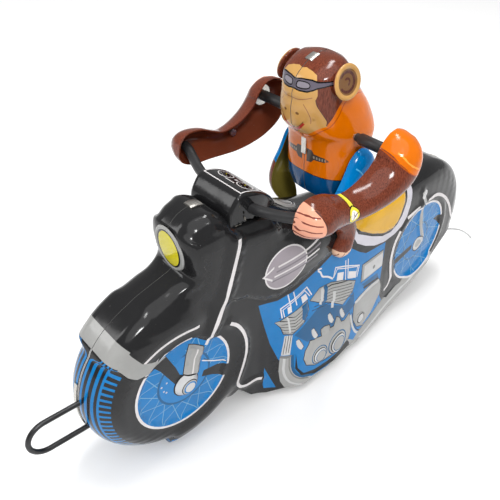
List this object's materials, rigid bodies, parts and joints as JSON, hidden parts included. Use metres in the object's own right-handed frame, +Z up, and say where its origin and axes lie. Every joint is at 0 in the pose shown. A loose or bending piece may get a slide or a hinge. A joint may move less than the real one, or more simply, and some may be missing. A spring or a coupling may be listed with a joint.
{
  "type": "wind-up tin motorcycle toy with monkey rider",
  "caption": "Clockwork tin-plate motorcycle of two printed body halves, steered by a monkey rider with swinging arms, with a winding key, bumper loop and geared drive wheels under the rear.",
  "frame": {"origin": "middle of the whole toy's box in plan, on the ground it stands on", "axes": "-X is the way the bike points, +Y is the rider's right, +Z is up"},
  "size_m": [0.2664, 0.0824, 0.1374],
  "materials": {
    "black_litho_tin": "glossy printed lacquer",
    "orange_litho_tin": "glossy printed lacquer",
    "brown_litho_tin": "glossy printed lacquer",
    "tan_litho_tin": "glossy printed lacquer",
    "blue_litho_tin": "glossy printed lacquer",
    "bare_tin": "bright tin plate",
    "dark_steel": "blackened, satin",
    "bright_steel": "bright drawn",
    "brass_gear": "stamped, satin",
    "black_sleeve": "matt sleeve",
    "black_rubber": "matt",
    "white_hub": "moulded, half gloss"
  },
  "bodies": {
    "chassis": {"body_shell_left": "black_litho_tin", "body_shell_right": "black_litho_tin", "instrument_nacelle": "black_litho_tin", "front_bracket": "bare_tin", "steering_bridge": "bare_tin", "motor_plate_left": "bright_steel", "motor_plate_right": "bright_steel", "motor_pillar_1": "bright_steel", "motor_pillar_2": "bright_steel", "motor_pillar_3": "bright_steel", "motor_pillar_4": "bright_steel", "mainspring": "dark_steel", "torso_half_left": "orange_litho_tin", "torso_half_right": "orange_litho_tin", "ear_left": "tan_litho_tin", "ear_right": "tan_litho_tin", "shoulder_rod": "bright_steel", "shoulder_spacer_left": "black_sleeve", "shoulder_spacer_right": "black_sleeve", "leg_left": "blue_litho_tin", "leg_right": "blue_litho_tin"},
    "steering": {"handlebar": "black_sleeve", "steering_column": "bright_steel", "front_yoke": "bright_steel"},
    "front_wheel": {"front_roller": "black_rubber", "front_axle": "bright_steel"},
    "bumper": {"bumper_loop": "dark_steel"},
    "arm_left_set": {"arm_left": "brown_litho_tin", "arm_clip_left": "bare_tin"},
    "arm_right_set": {"arm_right": "brown_litho_tin", "arm_clip_right": "bare_tin", "elbow_rivet": "bare_tin"},
    "winding": {"winding_arbor": "bright_steel", "ratchet_wheel": "brass_gear", "key_stem": "bright_steel", "key_bow": "bright_steel"},
    "great_gear": {"great_wheel": "brass_gear"},
    "click_set": {"click": "bright_steel"},
    "second_set": {"second_arbor": "bright_steel", "second_pinion": "brass_gear", "second_wheel": "brass_gear"},
    "governor": {"governor_arbor": "bright_steel", "governor_pinion": "brass_gear", "governor_fly": "dark_steel"},
    "drive_wheels": {"drive_axle": "bright_steel", "axle_pinion": "brass_gear", "drive_hub_left": "white_hub", "drive_hub_right": "white_hub", "drive_tyre_left": "black_rubber", "drive_tyre_right": "black_rubber"},
    "stopper": {"stop_lever": "bright_steel"}
  },
  "joints": [
    {"name": "steer", "type": "hinge", "parent": "chassis", "child": "steering", "pos_m": [-0.047, 0, 0.0932], "axis": [0.3356, 0, 0.942], "range_deg": [-4, 4]},
    {"name": "front_wheel_spin", "type": "hinge", "parent": "steering", "child": "front_wheel", "pos_m": [-0.0765, 0, 0.006], "axis": [0, 1, 0], "continuous": true},
    {"name": "bumper_slide", "type": "slide", "parent": "chassis", "child": "bumper", "axis": [1, 0, 0], "range_m": [0, 0.004]},
    {"name": "arm_left_swing", "type": "hinge", "parent": "chassis", "child": "arm_left_set", "pos_m": [-0.0038, -0.0298, 0.1105], "axis": [0, 1, 0], "range_deg": [-1.6, 1.6]},
    {"name": "arm_right_swing", "type": "hinge", "parent": "chassis", "child": "arm_right_set", "pos_m": [-0.0038, 0.0298, 0.1105], "axis": [0, 1, 0], "range_deg": [-1.6, 1.6]},
    {"name": "key_wind", "type": "hinge", "parent": "chassis", "child": "winding", "pos_m": [0.01526, 0, 0.02789], "axis": [0, 1, 0], "continuous": true},
    {"name": "great_spin", "type": "hinge", "parent": "chassis", "child": "great_gear", "pos_m": [0.01526, 0.0016, 0.02789], "axis": [0, 1, 0], "continuous": true},
    {"name": "click_lift", "type": "hinge", "parent": "great_gear", "child": "click_set", "pos_m": [0.01124, 0.0028, 0.0365], "axis": [0, -1, 0], "range_deg": [0, 12], "stiffness_Nm_per_rad": 0.00001, "springref_deg": -17.19},
    {"name": "second_spin", "type": "hinge", "parent": "chassis", "child": "second_set", "pos_m": [0.03148, 0, 0.021], "axis": [0, 1, 0], "continuous": true},
    {"name": "governor_spin", "type": "hinge", "parent": "chassis", "child": "governor", "pos_m": [0.03834, 0, 0.03391], "axis": [0, 1, 0], "continuous": true},
    {"name": "drive_spin", "type": "hinge", "parent": "chassis", "child": "drive_wheels", "pos_m": [0.043, 0, 0.012], "axis": [0, 1, 0], "continuous": true},
    {"name": "stop_swing", "type": "hinge", "parent": "chassis", "child": "stopper", "pos_m": [0.038, -0.0079, 0.0452], "axis": [0, 0, 1], "range_deg": [0, 8]}
  ],
  "couplings": [
    {"joint": "arm_left_swing", "follows": "steer", "ratio": -0.24},
    {"joint": "arm_right_swing", "follows": "steer", "ratio": 0.24},
    {"joint": "second_spin", "follows": "drive_spin", "ratio": -0.20833},
    {"joint": "great_spin", "follows": "drive_spin", "ratio": 0.034722},
    {"joint": "governor_spin", "follows": "drive_spin", "ratio": 1}
  ]
}
